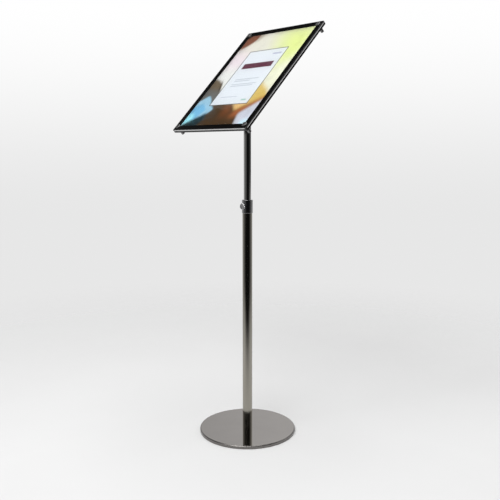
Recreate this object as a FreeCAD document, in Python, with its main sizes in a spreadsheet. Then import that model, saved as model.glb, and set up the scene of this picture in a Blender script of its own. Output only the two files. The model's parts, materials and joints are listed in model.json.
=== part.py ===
import FreeCAD, Part
import Sketcher
import os
import re

# Sign stand: a round foot, a two-part telescopic post with a clamping collar, and a
# sloping sandwich panel that shows one A3 sheet.
# Frame: +Z up, the origin is on the floor under the post's axis, and the reader
# stands on the -Y side. The panel's width runs along X.
#
# The head's own frame has its origin on the tilt axle, its Y up the panel's slope and
# its Z out of the panel's face, so every head piece shares one placement.

SIZES = {
    # foot
    "base_diameter": 300.0,
    "base_height": 10.0,
    "base_rim_radius": 2.5,
    "cover_sheet": 1.2,
    "cover_ground_gap": 0.8,
    "cover_slack": 0.3,
    "pad_diameter": 292.0,
    "pad_thickness": 1.5,
    "post_bolt_diameter": 10.0,
    "post_bolt_head_diameter": 20.0,
    "post_bolt_length": 38.0,
    "post_bolt_socket": 6.0,
    "post_bolt_socket_depth": 3.0,
    "bolt_recess": 0.3,
    # post
    "lower_tube_diameter": 30.0,
    "upper_tube_diameter": 22.0,
    "tube_wall": 1.2,
    "upper_tube_length": 620.0,
    "foot_plug_length": 45.0,
    "collar_diameter": 33.0,
    "collar_base_height": 690.0,
    "collar_height": 40.0,
    "collar_seat_depth": 12.0,
    "collar_edge": 1.0,
    "collar_slack": 0.3,
    "guide_bush_length": 60.0,
    "glide_bush_length": 40.0,
    "glide_bush_rise": 6.0,
    "stop_ring_width": 3.0,
    "stop_ring_diameter": 26.0,
    "running_gap": 0.05,
    "end_gap": 0.1,
    # thumb screw
    "thumb_height": 21.0,
    "thumb_thread": 8.0,
    "thumb_boss_diameter": 11.0,
    "thumb_boss_reach": 17.2,
    "thumb_neck_diameter": 9.0,
    "thumb_neck_length": 0.8,
    "thumb_head_diameter": 18.0,
    "thumb_head_length": 5.0,
    "thumb_head_edge": 0.6,
    "thumb_knurl_size": 0.5,
    "thumb_bore_depth": 4.0,
    "thumb_dish_diameter": 13.0,
    "thumb_dish_floor": 8.0,
    "thumb_dish_depth": 0.6,
    "clamp_pad_length": 2.5,
    # tilting joint
    "panel_tilt": 45.0,
    "panel_centre_height": 1095.0,
    "face_distance": 40.2,
    "plug_spigot_length": 40.0,
    "plug_flange": 4.0,
    "plug_neck": 24.0,
    "plug_pin_diameter": 4.0,
    "plug_pin_drop": 20.0,
    "tongue_thickness": 10.0,
    "tongue_width": 18.0,
    "axle_diameter": 8.0,
    "axle_head_diameter": 14.0,
    "axle_head_length": 4.0,
    "axle_end": 24.0,
    "axle_socket": 5.0,
    "axle_socket_depth": 3.0,
    "washer_thickness": 1.0,
    "washer_diameter": 20.0,
    "ear_thickness": 3.0,
    "ear_radius": 12.0,
    "ear_foot": 14.0,
    "yoke_width": 90.0,
    "yoke_length": 110.0,
    "yoke_centre": 30.0,
    "yoke_plate": 3.0,
    "yoke_corner": 8.0,
    "knob_washer_thickness": 1.5,
    "knob_diameter": 34.0,
    "knob_length": 14.0,
    "knob_hub_diameter": 20.0,
    "knob_hub_length": 4.0,
    "knob_rounding": 2.0,
    "knob_flute_diameter": 11.0,
    "knob_flute_depth": 2.75,
    "knob_insert_diameter": 13.0,
    "knob_insert_length": 13.5,
    # panel
    "panel_width": 318.0,
    "panel_length": 444.0,
    "panel_corner": 2.0,
    "panel_edge": 0.5,
    "cover_thickness": 5.0,
    "rear_thickness": 5.0,
    "sheet_gap": 1.0,
    "border_width": 17.5,
    "border_thickness": 0.2,
    "border_inset": 0.6,
    "poster_width": 297.0,
    "poster_length": 420.0,
    "poster_thickness": 0.25,
    "poster_clip": 12.0,
    "stud_inset": 14.0,
    "stud_diameter": 4.0,
    "hole_slack": 0.2,
    "spacer_diameter": 8.0,
    "cap_diameter": 15.0,
    "cap_height": 2.8,
    "cap_edge": 1.0,
    "cap_hole_depth": 1.6,
    "nut_diameter": 10.0,
    "nut_length": 17.0,
    "nut_edge": 0.8,
    "nut_hole_depth": 13.0,
    # panel-to-yoke screws
    "screw_diameter": 5.0,
    "screw_head_diameter": 10.0,
    "screw_length": 13.0,
    "screw_socket": 3.0,
    "screw_socket_depth": 1.5,
    "screw_recess": 0.2,
    "screw_edge": 10.0,
    "hex_nut_flats": 8.0,
    "hex_nut_thickness": 4.0,
}

# Heights above the floor.
COVER_UNDERSIDE = "(base_height - cover_sheet)"
TUBE_TOP = "(collar_base_height + collar_seat_depth)"
PIVOT_HEIGHT = "(panel_centre_height - face_distance / cos(panel_tilt))"
UPPER_TUBE_TOP = f"({PIVOT_HEIGHT} - plug_neck - plug_flange)"
UPPER_TUBE_FOOT = f"({UPPER_TUBE_TOP} - upper_tube_length)"
GLIDE_BUSH_FOOT = f"({UPPER_TUBE_FOOT} + glide_bush_rise)"

# Radii of the post.
LOWER_TUBE_BORE = "(lower_tube_diameter / 2 - tube_wall)"
UPPER_TUBE_RADIUS = "(upper_tube_diameter / 2)"
UPPER_TUBE_BORE = "(upper_tube_diameter / 2 - tube_wall)"
THREAD_RADIUS = "(thumb_thread / 2 - running_gap)"

# Places along the thumb screw, measured out from the post's axis.
CLAMP_PAD_TIP = f"({UPPER_TUBE_RADIUS} + end_gap)"
THUMB_STUD_TIP = f"({CLAMP_PAD_TIP} + clamp_pad_length + running_gap)"
THUMB_NECK = "(thumb_boss_reach + end_gap)"
THUMB_HEAD = f"({THUMB_NECK} + thumb_neck_length)"

# Places along the tilt axle, measured out from the middle of the tongue.
EAR_INSIDE = "(tongue_thickness / 2 + running_gap + washer_thickness)"
EAR_OUTSIDE = f"({EAR_INSIDE} + ear_thickness)"
KNOB_WASHER_FACE = f"({EAR_OUTSIDE} + running_gap)"
KNOB_FACE = f"({KNOB_WASHER_FACE} + knob_washer_thickness + running_gap)"

# Layers of the panel, measured out from the tilt axle along the head's Z.
COVER_BACK = "(face_distance - border_thickness - cover_thickness)"
REAR_FRONT = f"({COVER_BACK} - sheet_gap)"
REAR_BACK = f"({REAR_FRONT} - rear_thickness)"
YOKE_BACK = f"({REAR_BACK} - yoke_plate)"
PANEL_CENTRE = "(face_distance * tan(panel_tilt))"

# Hole places, measured from the panel's centre and from the yoke plate's centre.
STUD_X = "(panel_width / 2 - stud_inset)"
STUD_Y = "(panel_length / 2 - stud_inset)"
SCREW_X = "(yoke_width / 2 - screw_edge)"
SCREW_Y = "(yoke_length / 2 - screw_edge)"

FULL_TURN = 360
HEX_ANGLES = range(0, FULL_TURN, 60)
KNURL_GROOVES = 28
KNOB_FLUTES = 6
SMALL = 1e-4

doc = FreeCAD.newDocument("SignStand")
sheet = doc.addObject("Spreadsheet::Sheet", "Sizes")
for row, (word, size) in enumerate(SIZES.items(), start=1):
    sheet.set(f"A{row}", word)
    sheet.set(f"B{row}", str(size))
    sheet.setAlias(f"B{row}", word)
doc.recompute()


# ---------------------------------------------------------------- drawing helpers

def formula(text):
    """The text with each sheet word written out in full, as setExpression needs."""
    def in_full(found):
        word = found[0]
        return f"Sizes.{word}" if word in SIZES else word
    return re.sub(r"[a-z][a-z_]+", in_full, text)


def value_of(text):
    """What a formula comes to, in millimetres."""
    return float(sheet.evalExpression(formula(text)))


def new_body(name):
    body = doc.addObject("PartDesign::Body", name)
    body.Label = name
    return body


def place(body, x="0", y="0", z="0", axis=(0, 0, 1), angle="0"):
    """Put a body at x, y, z, turned by an angle in degrees about an axis through there."""
    body.Placement = FreeCAD.Placement(FreeCAD.Vector(), FreeCAD.Rotation(FreeCAD.Vector(*axis), 1))
    for way, text in zip("xyz", (x, y, z)):
        body.setExpression(f"Placement.Base.{way}", formula(text))
    body.setExpression("Placement.Rotation.Angle", formula(angle))


def place_on_head(body):
    """The head's own frame: origin on the tilt axle, Z out of the panel's face."""
    place(body, z=PIVOT_HEIGHT, axis=(1, 0, 0), angle="panel_tilt")


def place_on_axle(body):
    """Along the tilt axle: origin at the middle of the tongue, Z towards +X."""
    place(body, z=PIVOT_HEIGHT, axis=(0, 1, 0), angle="90")


def place_on_thumb_screw(body):
    """Along the thumb screw: origin on the post's axis, Z towards the reader."""
    place(body, z="collar_base_height + thumb_height", axis=(1, 0, 0), angle="90")


def new_sketch(body, plane="XY_Plane", lift="0"):
    """A sketch on one of the body's own origin planes, lifted off it along its normal."""
    sketch = body.newObject("Sketcher::SketchObject", f"{body.Name}_sketch")
    support = next(item for item in body.Origin.OriginFeatures if item.Role == plane)
    sketch.AttachmentSupport = (support, "")
    sketch.MapMode = "FlatFace"
    sketch.setExpression("AttachmentOffset.Base.z", formula(lift))
    return sketch


def bind(sketch, kind, *ends_and_text):
    """Add a driving dimension whose value is a formula of the sheet."""
    *ends, text = ends_and_text
    index = sketch.addConstraint(Sketcher.Constraint(kind, *ends, value_of(text)))
    sketch.setExpression(f"Constraints[{index}]", formula(text))


def outline(sketch, corners):
    """A closed outline of straight lines through the corners, given as formula pairs."""
    points = [FreeCAD.Vector(value_of(x), value_of(y), 0) for x, y in corners]
    first = sketch.GeometryCount
    count = len(points)
    for index, point in enumerate(points):
        sketch.addGeometry(Part.LineSegment(point, points[(index + 1) % count]))
    for index, (x, y) in enumerate(corners):
        line = first + index
        following = first + (index + 1) % count
        sketch.addConstraint(Sketcher.Constraint("Coincident", line, 2, following, 1))
        bind(sketch, "DistanceX", -1, 1, line, 1, x)
        bind(sketch, "DistanceY", -1, 1, line, 1, y)


def rectangle(sketch, x_low, x_high, y_low, y_high):
    outline(sketch, [(x_low, y_low), (x_high, y_low), (x_high, y_high), (x_low, y_high)])


def centred_rectangle(sketch, width, length):
    rectangle(sketch, f"-{width} / 2", f"{width} / 2", f"-{length} / 2", f"{length} / 2")


def hexagon(sketch, flats, x="0", y="0"):
    reach = f"{flats} / sqrt(3)"
    outline(sketch, [(f"{x} + {reach} * cos({turn})", f"{y} + {reach} * sin({turn})") for turn in HEX_ANGLES])


def circle(sketch, diameter, x="0", y="0"):
    centre = FreeCAD.Vector(value_of(x), value_of(y), 0)
    up = FreeCAD.Vector(0, 0, 1)
    index = sketch.addGeometry(Part.Circle(centre, up, value_of(diameter) / 2))
    bind(sketch, "DistanceX", -1, 1, index, 3, x)
    bind(sketch, "DistanceY", -1, 1, index, 3, y)
    bind(sketch, "Diameter", index, diameter)


def at_four_corners(draw, x, y):
    """Call draw(x, y) once for each corner of a rectangle of half-sizes x and y."""
    for x_sign in ("-", ""):
        for y_sign in ("-", ""):
            draw(f"{x_sign}{x}", f"{y_sign}{y}")


def four_circles(sketch, diameter, x, y):
    at_four_corners(lambda at_x, at_y: circle(sketch, diameter, at_x, at_y), x, y)


# ---------------------------------------------------------------- feature helpers

def pad(body, sketch, length, both_ways=False):
    """Material from the sketch along its normal, or half to each side of it."""
    feature = body.newObject("PartDesign::Pad", f"{body.Name}_pad")
    feature.Profile = sketch
    feature.Midplane = both_ways
    feature.setExpression("Length", formula(length))
    sketch.Visibility = False


def pocket(body, sketch, length, both_ways=False):
    """A cut from the sketch along its normal, or half to each side of it."""
    doc.recompute()
    before = body.Shape.Volume
    feature = body.newObject("PartDesign::Pocket", f"{body.Name}_pocket")
    feature.Profile = sketch
    feature.Midplane = both_ways
    feature.Reversed = not both_ways
    feature.setExpression("Length", formula(length))
    sketch.Visibility = False
    doc.recompute()
    if body.Shape.Volume > before - SMALL:
        raise RuntimeError(f"{feature.Label} removes nothing")
    return feature


def spin(body, sketch):
    """Material from a half profile turned about the body's own Z."""
    feature = body.newObject("PartDesign::Revolution", f"{body.Name}_turned")
    feature.Profile = sketch
    feature.ReferenceAxis = (sketch, ["V_Axis"])
    feature.Angle = FULL_TURN
    sketch.Visibility = False


def turned(name, profile):
    """A body turned about its own Z from a half profile of (radius, height) corners."""
    body = new_body(name)
    sketch = new_sketch(body, "XZ_Plane")
    outline(sketch, profile)
    spin(body, sketch)
    return body


def tube(name, outer_radius, inner_radius, foot, length):
    """A plain tube or ring, standing at a height."""
    body = turned(name, [(inner_radius, "0"), (outer_radius, "0"),
                         (outer_radius, length), (inner_radius, length)])
    place(body, z=foot)
    return body


def edges_where(body, test):
    """Names of the edges of the body's last feature that pass a test."""
    doc.recompute()
    return [f"Edge{index}" for index, edge in enumerate(body.Tip.Shape.Edges, start=1) if test(edge)]


def upright(edge):
    """A straight edge along the body's own Z."""
    if not isinstance(edge.Curve, Part.Line):
        return False
    return abs(edge.tangentAt(edge.FirstParameter).z) > 1 - SMALL


def ring(radius, height):
    """A test for a round edge of this radius at this height of the body's own Z."""
    def passes(edge):
        if not isinstance(edge.Curve, Part.Circle):
            return False
        same_size = abs(edge.Curve.Radius - value_of(radius)) < SMALL
        return same_size and abs(edge.Curve.Center.z - value_of(height)) < SMALL
    return passes


def level(height):
    """A test for an edge that lies wholly at this height of the body's own Z."""
    def passes(edge):
        return all(abs(corner.Z - value_of(height)) < SMALL for corner in edge.Vertexes)
    return passes


def dress(body, kind, size, test):
    """A Fillet or Chamfer of a size on the edges that pass a test."""
    names = edges_where(body, test)
    if not names:
        raise RuntimeError(f"{body.Label} has no such edge")
    base = body.Tip
    feature = body.newObject(f"PartDesign::{kind}", f"{body.Name}_{kind.lower()}")
    feature.Base = (base, names)
    feature.setExpression("Radius" if kind == "Fillet" else "Size", formula(size))
    base.Visibility = False


def around_axis(body, feature, sketch, count):
    """Repeat a feature evenly about the sketch's normal."""
    pattern = body.newObject("PartDesign::PolarPattern", f"{body.Name}_pattern")
    pattern.Originals = [feature]
    pattern.Axis = (sketch, ["N_Axis"])
    pattern.Angle = FULL_TURN
    pattern.Occurrences = count
    body.Tip = pattern


# ---------------------------------------------------------------- foot

def make_base_pad():
    """Rubber underlay, glued over the whole underside: the face the stand rests on."""
    edge = "pad_diameter / 2"
    return turned("base_pad", [("0", "0"), (edge, "0"), (edge, "pad_thickness"), ("0", "pad_thickness")])


def make_base_weight():
    """Round steel plate, countersunk from below for the post's bolt."""
    edge = "base_diameter / 2 - cover_sheet - cover_slack"
    hole = "post_bolt_diameter / 2 + hole_slack"
    cone = "post_bolt_head_diameter / 2 + bolt_recess + hole_slack"
    return turned("base_weight", [(cone, "pad_thickness"), (edge, "pad_thickness"),
                                  (edge, f"{COVER_UNDERSIDE} - base_rim_radius"),
                                  (f"{edge} - base_rim_radius", COVER_UNDERSIDE),
                                  (hole, COVER_UNDERSIDE),
                                  (hole, f"pad_thickness + ({cone}) - ({hole})")])


def make_base_cover():
    """Polished pressed cover over the plate, with a rounded rim turned down to the floor."""
    outside = "base_diameter / 2"
    inside = "base_diameter / 2 - cover_sheet"
    hole = "post_bolt_diameter / 2 + hole_slack"
    body = turned("base_cover", [(hole, COVER_UNDERSIDE), (inside, COVER_UNDERSIDE),
                                 (inside, "cover_ground_gap"), (outside, "cover_ground_gap"),
                                 (outside, "base_height"), (hole, "base_height")])
    dress(body, "Fillet", "base_rim_radius", ring(outside, "base_height"))
    dress(body, "Fillet", "base_rim_radius - cover_sheet", ring(inside, COVER_UNDERSIDE))
    return body


def make_post_bolt():
    """Countersunk socket bolt that pulls the post down onto the foot."""
    shank = "post_bolt_diameter / 2"
    head = "post_bolt_head_diameter / 2"
    cone = f"{head} - {shank}"
    body = turned("post_bolt", [("0", "0"), (head, "0"), (shank, cone),
                                (shank, "post_bolt_length"), ("0", "post_bolt_length")])
    socket = new_sketch(body)
    hexagon(socket, "post_bolt_socket")
    pocket(body, socket, "post_bolt_socket_depth")
    place(body, z="pad_thickness + bolt_recess")
    return body


def make_foot_plug():
    """Threaded plug pressed into the foot of the lower tube."""
    return tube("foot_plug", LOWER_TUBE_BORE, "post_bolt_diameter / 2", "base_height", "foot_plug_length")


# ---------------------------------------------------------------- post

def make_lower_tube():
    """Fixed outer tube of the post."""
    return tube("lower_tube", "lower_tube_diameter / 2", LOWER_TUBE_BORE, "base_height",
                f"{TUBE_TOP} - base_height")


def make_guide_bush():
    """Liner pressed into the mouth of the lower tube: the inner tube slides in it."""
    return tube("guide_bush", LOWER_TUBE_BORE, f"{UPPER_TUBE_RADIUS} + running_gap",
                f"{TUBE_TOP} - guide_bush_length", "guide_bush_length")


def make_lock_collar():
    """Turned collar bonded over the lower tube's end, with a boss for the thumb screw."""
    body = new_body("lock_collar")
    outside = new_sketch(body)
    circle(outside, "collar_diameter")
    pad(body, outside, "collar_height")
    dress(body, "Fillet", "collar_edge", lambda edge: isinstance(edge.Curve, Part.Circle))
    boss = new_sketch(body, "XZ_Plane")
    circle(boss, "thumb_boss_diameter", "0", "thumb_height")
    pad(body, boss, "thumb_boss_reach")
    bore = new_sketch(body)
    circle(bore, "upper_tube_diameter + 2 * collar_slack")
    pocket(body, bore, "collar_height")
    seat = new_sketch(body)
    circle(seat, "lower_tube_diameter")
    pocket(body, seat, "collar_seat_depth")
    thread = new_sketch(body, "XZ_Plane")
    circle(thread, "thumb_thread", "0", "thumb_height")
    pocket(body, thread, "thumb_boss_reach")
    place(body, z="collar_base_height")
    return body


def make_upper_tube():
    """Sliding inner tube, cross-drilled near its top for the plug's pin."""
    body = tube("upper_tube", UPPER_TUBE_RADIUS, UPPER_TUBE_BORE, UPPER_TUBE_FOOT, "upper_tube_length")
    pin_hole = new_sketch(body, "YZ_Plane")
    circle(pin_hole, "plug_pin_diameter", "0", "upper_tube_length - plug_pin_drop")
    pocket(body, pin_hole, "2 * upper_tube_diameter", both_ways=True)
    return body


def make_glide_bush():
    """Sleeve near the foot of the inner tube: it slides in the outer tube, and the inner turns in it."""
    return tube("glide_bush", f"{LOWER_TUBE_BORE} - running_gap", f"{UPPER_TUBE_RADIUS} + running_gap",
                GLIDE_BUSH_FOOT, "glide_bush_length")


def make_stop_rings():
    """Two rings on the inner tube, one below and one above the glide bush."""
    body = new_body("stop_rings")
    sketch = new_sketch(body, "XZ_Plane")
    for foot in ("-(stop_ring_width + end_gap)", "(glide_bush_length + end_gap)"):
        rectangle(sketch, UPPER_TUBE_RADIUS, "stop_ring_diameter / 2", foot, f"{foot} + stop_ring_width")
    spin(body, sketch)
    place(body, z=GLIDE_BUSH_FOOT)
    return body


# ---------------------------------------------------------------- thumb screw

def make_clamp_pad():
    """Soft slug between the thumb screw and the inner tube."""
    body = turned("clamp_pad", [("0", CLAMP_PAD_TIP), (THREAD_RADIUS, CLAMP_PAD_TIP),
                                (THREAD_RADIUS, f"{CLAMP_PAD_TIP} + clamp_pad_length"),
                                ("0", f"{CLAMP_PAD_TIP} + clamp_pad_length")])
    place_on_thumb_screw(body)
    return body


def make_thumb_stud():
    """Threaded stud of the thumb screw, from the pad to the end of the head's bore."""
    end = f"{THUMB_HEAD} + thumb_bore_depth"
    body = turned("thumb_stud", [("0", THUMB_STUD_TIP), (THREAD_RADIUS, THUMB_STUD_TIP),
                                 (THREAD_RADIUS, end), ("0", end)])
    place_on_thumb_screw(body)
    return body


def make_thumb_knob():
    """Turned head of the thumb screw: short neck, knurled rim, dished face."""
    neck = "thumb_neck_diameter / 2"
    rim = "thumb_head_diameter / 2"
    face = f"{THUMB_HEAD} + thumb_head_length"
    bore_end = f"{THUMB_HEAD} + thumb_bore_depth"
    body = turned("thumb_knob", [(THREAD_RADIUS, THUMB_NECK), (neck, THUMB_NECK), (neck, THUMB_HEAD),
                                 (rim, THUMB_HEAD), (rim, face), ("thumb_dish_diameter / 2", face),
                                 ("thumb_dish_floor / 2", f"{face} - thumb_dish_depth"),
                                 ("0", f"{face} - thumb_dish_depth"),
                                 ("0", bore_end), (THREAD_RADIUS, bore_end)])
    dress(body, "Chamfer", "thumb_head_edge", ring(rim, face))
    dress(body, "Chamfer", "thumb_head_edge", ring(rim, THUMB_HEAD))
    groove = new_sketch(body, lift=THUMB_HEAD)
    outline(groove, [(f"{rim} - thumb_knurl_size", "0"),
                     (f"{rim} + thumb_knurl_size", "-2 * thumb_knurl_size"),
                     (f"{rim} + thumb_knurl_size", "2 * thumb_knurl_size")])
    cut = pocket(body, groove, "thumb_head_length")
    around_axis(body, cut, groove, KNURL_GROOVES)
    place_on_thumb_screw(body)
    return body


# ---------------------------------------------------------------- tilting joint

def make_top_plug():
    """Plug in the top of the inner tube, ending in a flat tongue with a round eye."""
    spigot_foot = "-(plug_neck + plug_flange + plug_spigot_length)"
    flange_foot = "-(plug_neck + plug_flange)"
    body = turned("top_plug", [("0", spigot_foot), (UPPER_TUBE_BORE, spigot_foot),
                               (UPPER_TUBE_BORE, flange_foot), (UPPER_TUBE_RADIUS, flange_foot),
                               (UPPER_TUBE_RADIUS, "-plug_neck"), ("0", "-plug_neck")])
    tongue = new_sketch(body, "YZ_Plane")
    rectangle(tongue, "-tongue_width / 2", "tongue_width / 2", "-plug_neck", "0")
    pad(body, tongue, "tongue_thickness", both_ways=True)
    eye = new_sketch(body, "YZ_Plane")
    circle(eye, "tongue_width")
    pad(body, eye, "tongue_thickness", both_ways=True)
    holes = new_sketch(body, "YZ_Plane")
    circle(holes, "axle_diameter + 2 * running_gap")
    circle(holes, "plug_pin_diameter", "0", f"{flange_foot} - plug_pin_drop")
    pocket(body, holes, "2 * upper_tube_diameter", both_ways=True)
    place(body, z=PIVOT_HEIGHT)
    return body


def make_plug_pin():
    """Cross pin through the inner tube and its plug, flush at both ends."""
    reach = "upper_tube_diameter / 2 - end_gap"
    pin = "plug_pin_diameter / 2"
    body = turned("plug_pin", [("0", f"-({reach})"), (pin, f"-({reach})"), (pin, reach), ("0", reach)])
    place(body, z=f"{UPPER_TUBE_TOP} - plug_pin_drop", axis=(0, 1, 0), angle="90")
    return body


def make_friction_washers():
    """One washer each side of the tongue."""
    body = new_body("friction_washers")
    sketch = new_sketch(body, "XZ_Plane")
    inner = "axle_diameter / 2 + running_gap"
    rectangle(sketch, inner, "washer_diameter / 2", f"{EAR_INSIDE} - washer_thickness", EAR_INSIDE)
    rectangle(sketch, inner, "washer_diameter / 2", f"-{EAR_INSIDE}", f"-{EAR_INSIDE} + washer_thickness")
    spin(body, sketch)
    place_on_axle(body)
    return body


def make_head_yoke():
    """Plate on the panel's back with two ears that straddle the tongue."""
    body = new_body("head_yoke")
    plate = new_sketch(body, lift=YOKE_BACK)
    low = "(yoke_centre - yoke_length / 2)"
    high = "(yoke_centre + yoke_length / 2)"
    rectangle(plate, "-yoke_width / 2", "yoke_width / 2", low, high)
    for side in ("-", ""):
        for end in (f"(yoke_centre - {SCREW_Y})", f"(yoke_centre + {SCREW_Y})"):
            circle(plate, "screw_diameter + 2 * hole_slack", f"{side}{SCREW_X}", end)
    pad(body, plate, "yoke_plate")
    dress(body, "Fillet", "yoke_corner", upright)
    web = new_sketch(body, "YZ_Plane")
    outline(web, [("-ear_radius", "0"), ("ear_radius", "0"), ("ear_radius + ear_foot", YOKE_BACK),
                  ("-ear_radius", YOKE_BACK)])
    pad(body, web, f"2 * {EAR_OUTSIDE}", both_ways=True)
    eye = new_sketch(body, "YZ_Plane")
    circle(eye, "2 * ear_radius")
    pad(body, eye, f"2 * {EAR_OUTSIDE}", both_ways=True)
    slot = new_sketch(body, "YZ_Plane")
    rectangle(slot, "-2 * ear_radius", "2 * ear_radius + ear_foot", "-2 * ear_radius", YOKE_BACK)
    pocket(body, slot, f"2 * {EAR_INSIDE}", both_ways=True)
    axle_hole = new_sketch(body, "YZ_Plane")
    circle(axle_hole, "axle_diameter + hole_slack")
    pocket(body, axle_hole, f"4 * {EAR_OUTSIDE}", both_ways=True)
    place_on_head(body)
    return body


def make_pivot_bolt():
    """The tilt axle: a socket-head bolt through both ears and the tongue."""
    shank = "axle_diameter / 2"
    head = "axle_head_diameter / 2"
    head_end = f"-({EAR_OUTSIDE} + axle_head_length)"
    body = turned("pivot_bolt", [("0", head_end), (head, head_end), (head, f"-{EAR_OUTSIDE}"),
                                 (shank, f"-{EAR_OUTSIDE}"), (shank, "axle_end"), ("0", "axle_end")])
    socket = new_sketch(body, lift=head_end)
    hexagon(socket, "axle_socket")
    pocket(body, socket, "axle_socket_depth")
    place_on_axle(body)
    return body


def make_knob_washer():
    """Washer between the tilt knob and the ear."""
    inner = "axle_diameter / 2 + running_gap"
    outer = "washer_diameter / 2"
    end = f"{KNOB_WASHER_FACE} + knob_washer_thickness"
    body = turned("knob_washer", [(inner, KNOB_WASHER_FACE), (outer, KNOB_WASHER_FACE),
                                  (outer, end), (inner, end)])
    place_on_axle(body)
    return body


def make_knob_insert():
    """Threaded insert moulded into the tilt knob."""
    inner = "axle_diameter / 2 + running_gap"
    outer = "knob_insert_diameter / 2"
    end = f"{KNOB_FACE} + knob_insert_length"
    body = turned("knob_insert", [(inner, KNOB_FACE), (outer, KNOB_FACE), (outer, end), (inner, end)])
    place_on_axle(body)
    return body


def make_tilt_knob():
    """Moulded fluted knob with a hub, on the right-hand end of the tilt axle."""
    body = new_body("tilt_knob")
    hub = new_sketch(body, lift=KNOB_FACE)
    circle(hub, "knob_hub_diameter")
    pad(body, hub, "knob_hub_length")
    grip = new_sketch(body, lift=f"{KNOB_FACE} + knob_hub_length")
    circle(grip, "knob_diameter")
    pad(body, grip, "knob_length")
    flute = new_sketch(body, lift=KNOB_FACE)
    circle(flute, "knob_flute_diameter", "knob_diameter / 2 + knob_flute_diameter / 2 - knob_flute_depth")
    cut = pocket(body, flute, "knob_hub_length + knob_length")
    around_axis(body, cut, flute, KNOB_FLUTES)
    face = f"{KNOB_FACE} + knob_hub_length + knob_length"
    dress(body, "Fillet", "knob_rounding", level(face))
    bore = new_sketch(body, lift=KNOB_FACE)
    circle(bore, "knob_insert_diameter")
    pocket(body, bore, "knob_insert_length")
    place_on_axle(body)
    return body


# ---------------------------------------------------------------- panel

def place_on_panel(body, layer):
    """A layer of the panel: origin at the panel's centre, at a height along the head's Z."""
    place(body, y=f"{PANEL_CENTRE} * cos(panel_tilt) - {layer} * sin(panel_tilt)",
          z=f"{PIVOT_HEIGHT} + {PANEL_CENTRE} * sin(panel_tilt) + {layer} * cos(panel_tilt)",
          axis=(1, 0, 0), angle="panel_tilt")


def place_on_yoke_plate(body, layer):
    """The same, with the origin at the centre of the yoke's plate."""
    place(body, y=f"yoke_centre * cos(panel_tilt) - {layer} * sin(panel_tilt)",
          z=f"{PIVOT_HEIGHT} + yoke_centre * sin(panel_tilt) + {layer} * cos(panel_tilt)",
          axis=(1, 0, 0), angle="panel_tilt")


def long_and_flat(edge):
    """One of the long edges of a panel sheet's two faces."""
    box = edge.BoundBox
    return box.ZLength < SMALL and box.XLength + box.YLength > value_of("panel_width") / 2


def make_rear_panel():
    """Black back sheet, countersunk at the front for the screws to the yoke."""
    body = new_body("rear_panel")
    sketch = new_sketch(body)
    centred_rectangle(sketch, "panel_width", "panel_length")
    four_circles(sketch, "stud_diameter + hole_slack", STUD_X, STUD_Y)
    shift = f"(yoke_centre - {PANEL_CENTRE})"
    for side in ("-", ""):
        for end in (f"{shift} - {SCREW_Y}", f"{shift} + {SCREW_Y}"):
            circle(sketch, "screw_diameter + hole_slack", f"{side}{SCREW_X}", end)
    pad(body, sketch, "rear_thickness")
    dress(body, "Fillet", "panel_corner", upright)
    screw_hole = ring("(screw_diameter + hole_slack) / 2", "rear_thickness")
    dress(body, "Chamfer", "(screw_head_diameter - screw_diameter) / 2 + screw_recess", screw_hole)
    dress(body, "Chamfer", "panel_edge", long_and_flat)
    place_on_panel(body, REAR_BACK)
    return body


def make_front_cover():
    """Clear front sheet with polished, lightly chamfered edges."""
    body = new_body("front_cover")
    sketch = new_sketch(body)
    centred_rectangle(sketch, "panel_width", "panel_length")
    four_circles(sketch, "stud_diameter + hole_slack", STUD_X, STUD_Y)
    pad(body, sketch, "cover_thickness")
    dress(body, "Fillet", "panel_corner", upright)
    dress(body, "Chamfer", "panel_edge", long_and_flat)
    place_on_panel(body, COVER_BACK)
    return body


def make_border_film():
    """Black printed frame on the cover's face, around the window."""
    body = new_body("border_film")
    sketch = new_sketch(body)
    centred_rectangle(sketch, "(panel_width - 2 * border_inset)", "(panel_length - 2 * border_inset)")
    centred_rectangle(sketch, "(panel_width - 2 * border_width)", "(panel_length - 2 * border_width)")
    four_circles(sketch, "stud_diameter + hole_slack", STUD_X, STUD_Y)
    pad(body, sketch, "border_thickness")
    dress(body, "Fillet", "panel_corner - border_inset", upright)
    place_on_panel(body, "(face_distance - border_thickness)")
    return body


def make_poster():
    """The printed sheet, its corners clipped to clear the studs."""
    body = new_body("poster")
    sketch = new_sketch(body)
    centred_rectangle(sketch, "poster_width", "poster_length")
    pad(body, sketch, "poster_thickness")
    dress(body, "Chamfer", "poster_clip", upright)
    place_on_panel(body, REAR_FRONT)
    return body


def make_spacer_washers():
    """Four washers that keep the gap for the sheet."""
    body = new_body("spacer_washers")
    sketch = new_sketch(body)
    four_circles(sketch, "spacer_diameter", STUD_X, STUD_Y)
    four_circles(sketch, "stud_diameter + hole_slack", STUD_X, STUD_Y)
    pad(body, sketch, "sheet_gap")
    place_on_panel(body, REAR_FRONT)
    return body


def make_corner_studs():
    """Four threaded studs through the whole sandwich."""
    foot = f"({REAR_BACK} - nut_hole_depth + end_gap)"
    body = new_body("corner_studs")
    sketch = new_sketch(body)
    four_circles(sketch, "stud_diameter", STUD_X, STUD_Y)
    pad(body, sketch, f"face_distance + cap_hole_depth - end_gap - {foot}")
    place_on_panel(body, foot)
    return body


def make_corner_caps():
    """Four round caps on the face, each screwed on a stud."""
    body = new_body("corner_caps")
    sketch = new_sketch(body)
    four_circles(sketch, "cap_diameter", STUD_X, STUD_Y)
    pad(body, sketch, "cap_height")
    dress(body, "Fillet", "cap_edge", ring("cap_diameter / 2", "cap_height"))
    holes = new_sketch(body)
    four_circles(holes, "stud_diameter", STUD_X, STUD_Y)
    pocket(body, holes, "cap_hole_depth")
    place_on_panel(body, "face_distance")
    return body


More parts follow.
